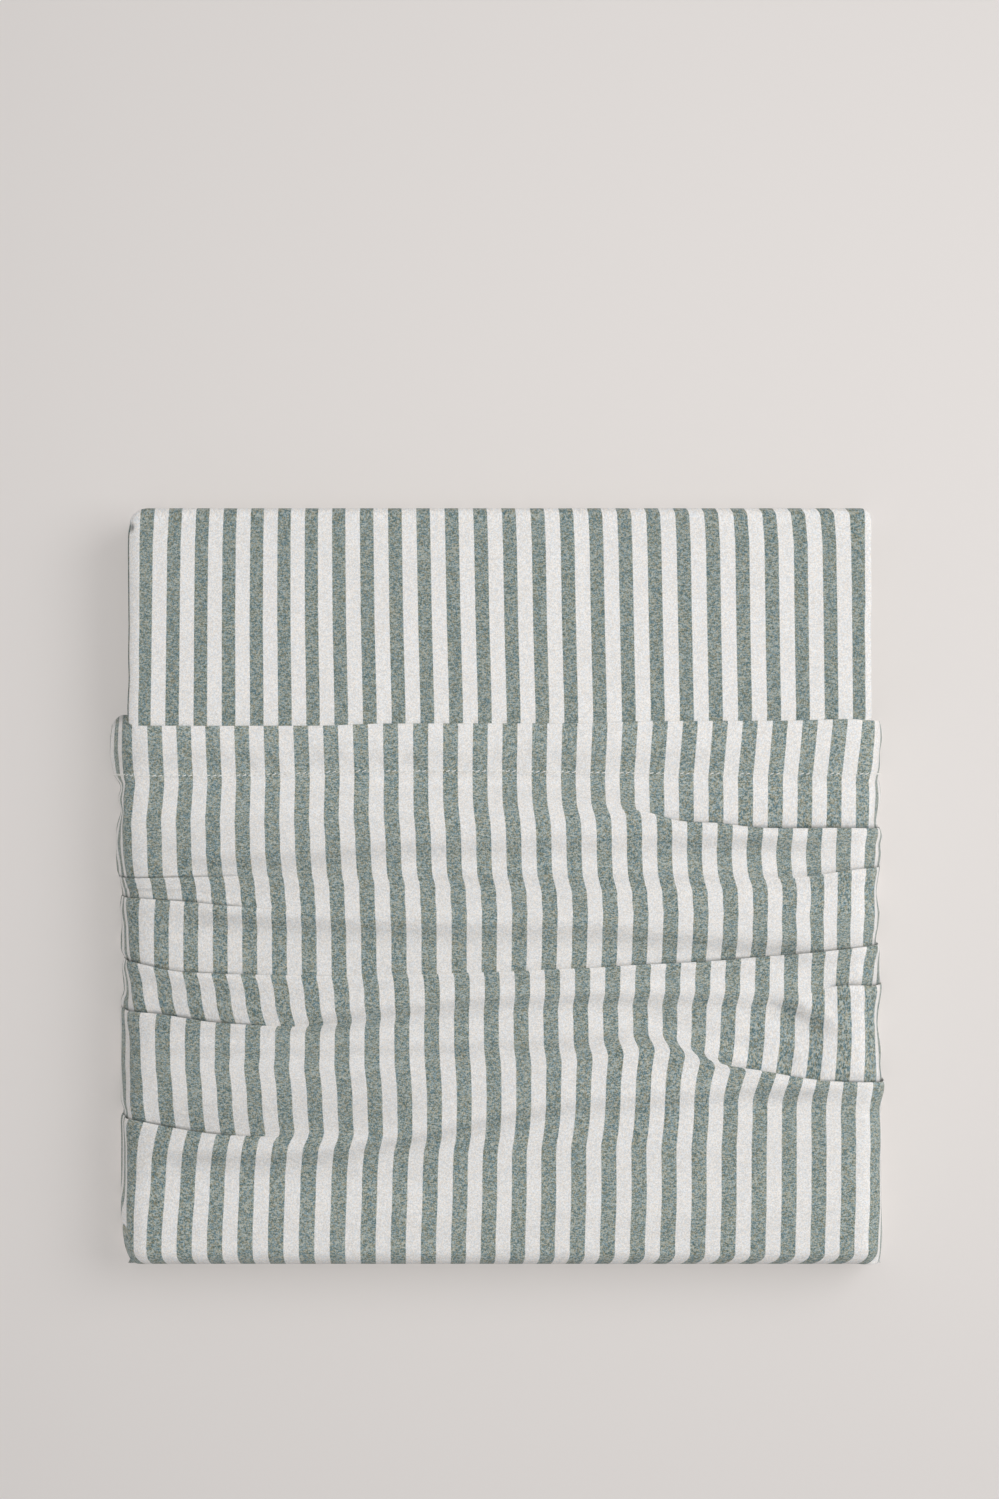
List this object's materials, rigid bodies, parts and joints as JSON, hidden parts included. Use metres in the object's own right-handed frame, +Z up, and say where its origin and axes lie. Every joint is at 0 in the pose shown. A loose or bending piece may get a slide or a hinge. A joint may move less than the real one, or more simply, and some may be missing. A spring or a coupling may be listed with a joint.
{
  "type": "folded duvet cover in a cloth sleeve",
  "caption": "Duvet cover folded into a flat square pack, its lower part held in a striped cloth sleeve with a hemmed mouth and bunched tucks.",
  "frame": {"origin": "middle of the footprint, on the surface that the pack lies on", "axes": "+Z up off the surface, +Y along the stripes towards the sleeve's mouth, +X across the stripes"},
  "size_m": [0.384, 0.38, 0.0449],
  "materials": {
    "cover_cloth": "plain-woven yarn-dyed cotton, sage and off-white stripes",
    "sleeve_cloth": "plain-woven yarn-dyed cotton, sage and off-white stripes"
  },
  "bodies": {
    "root": {"folded_cover": "cover_cloth", "cloth_sleeve": "sleeve_cloth"}
  },
  "joints": []
}
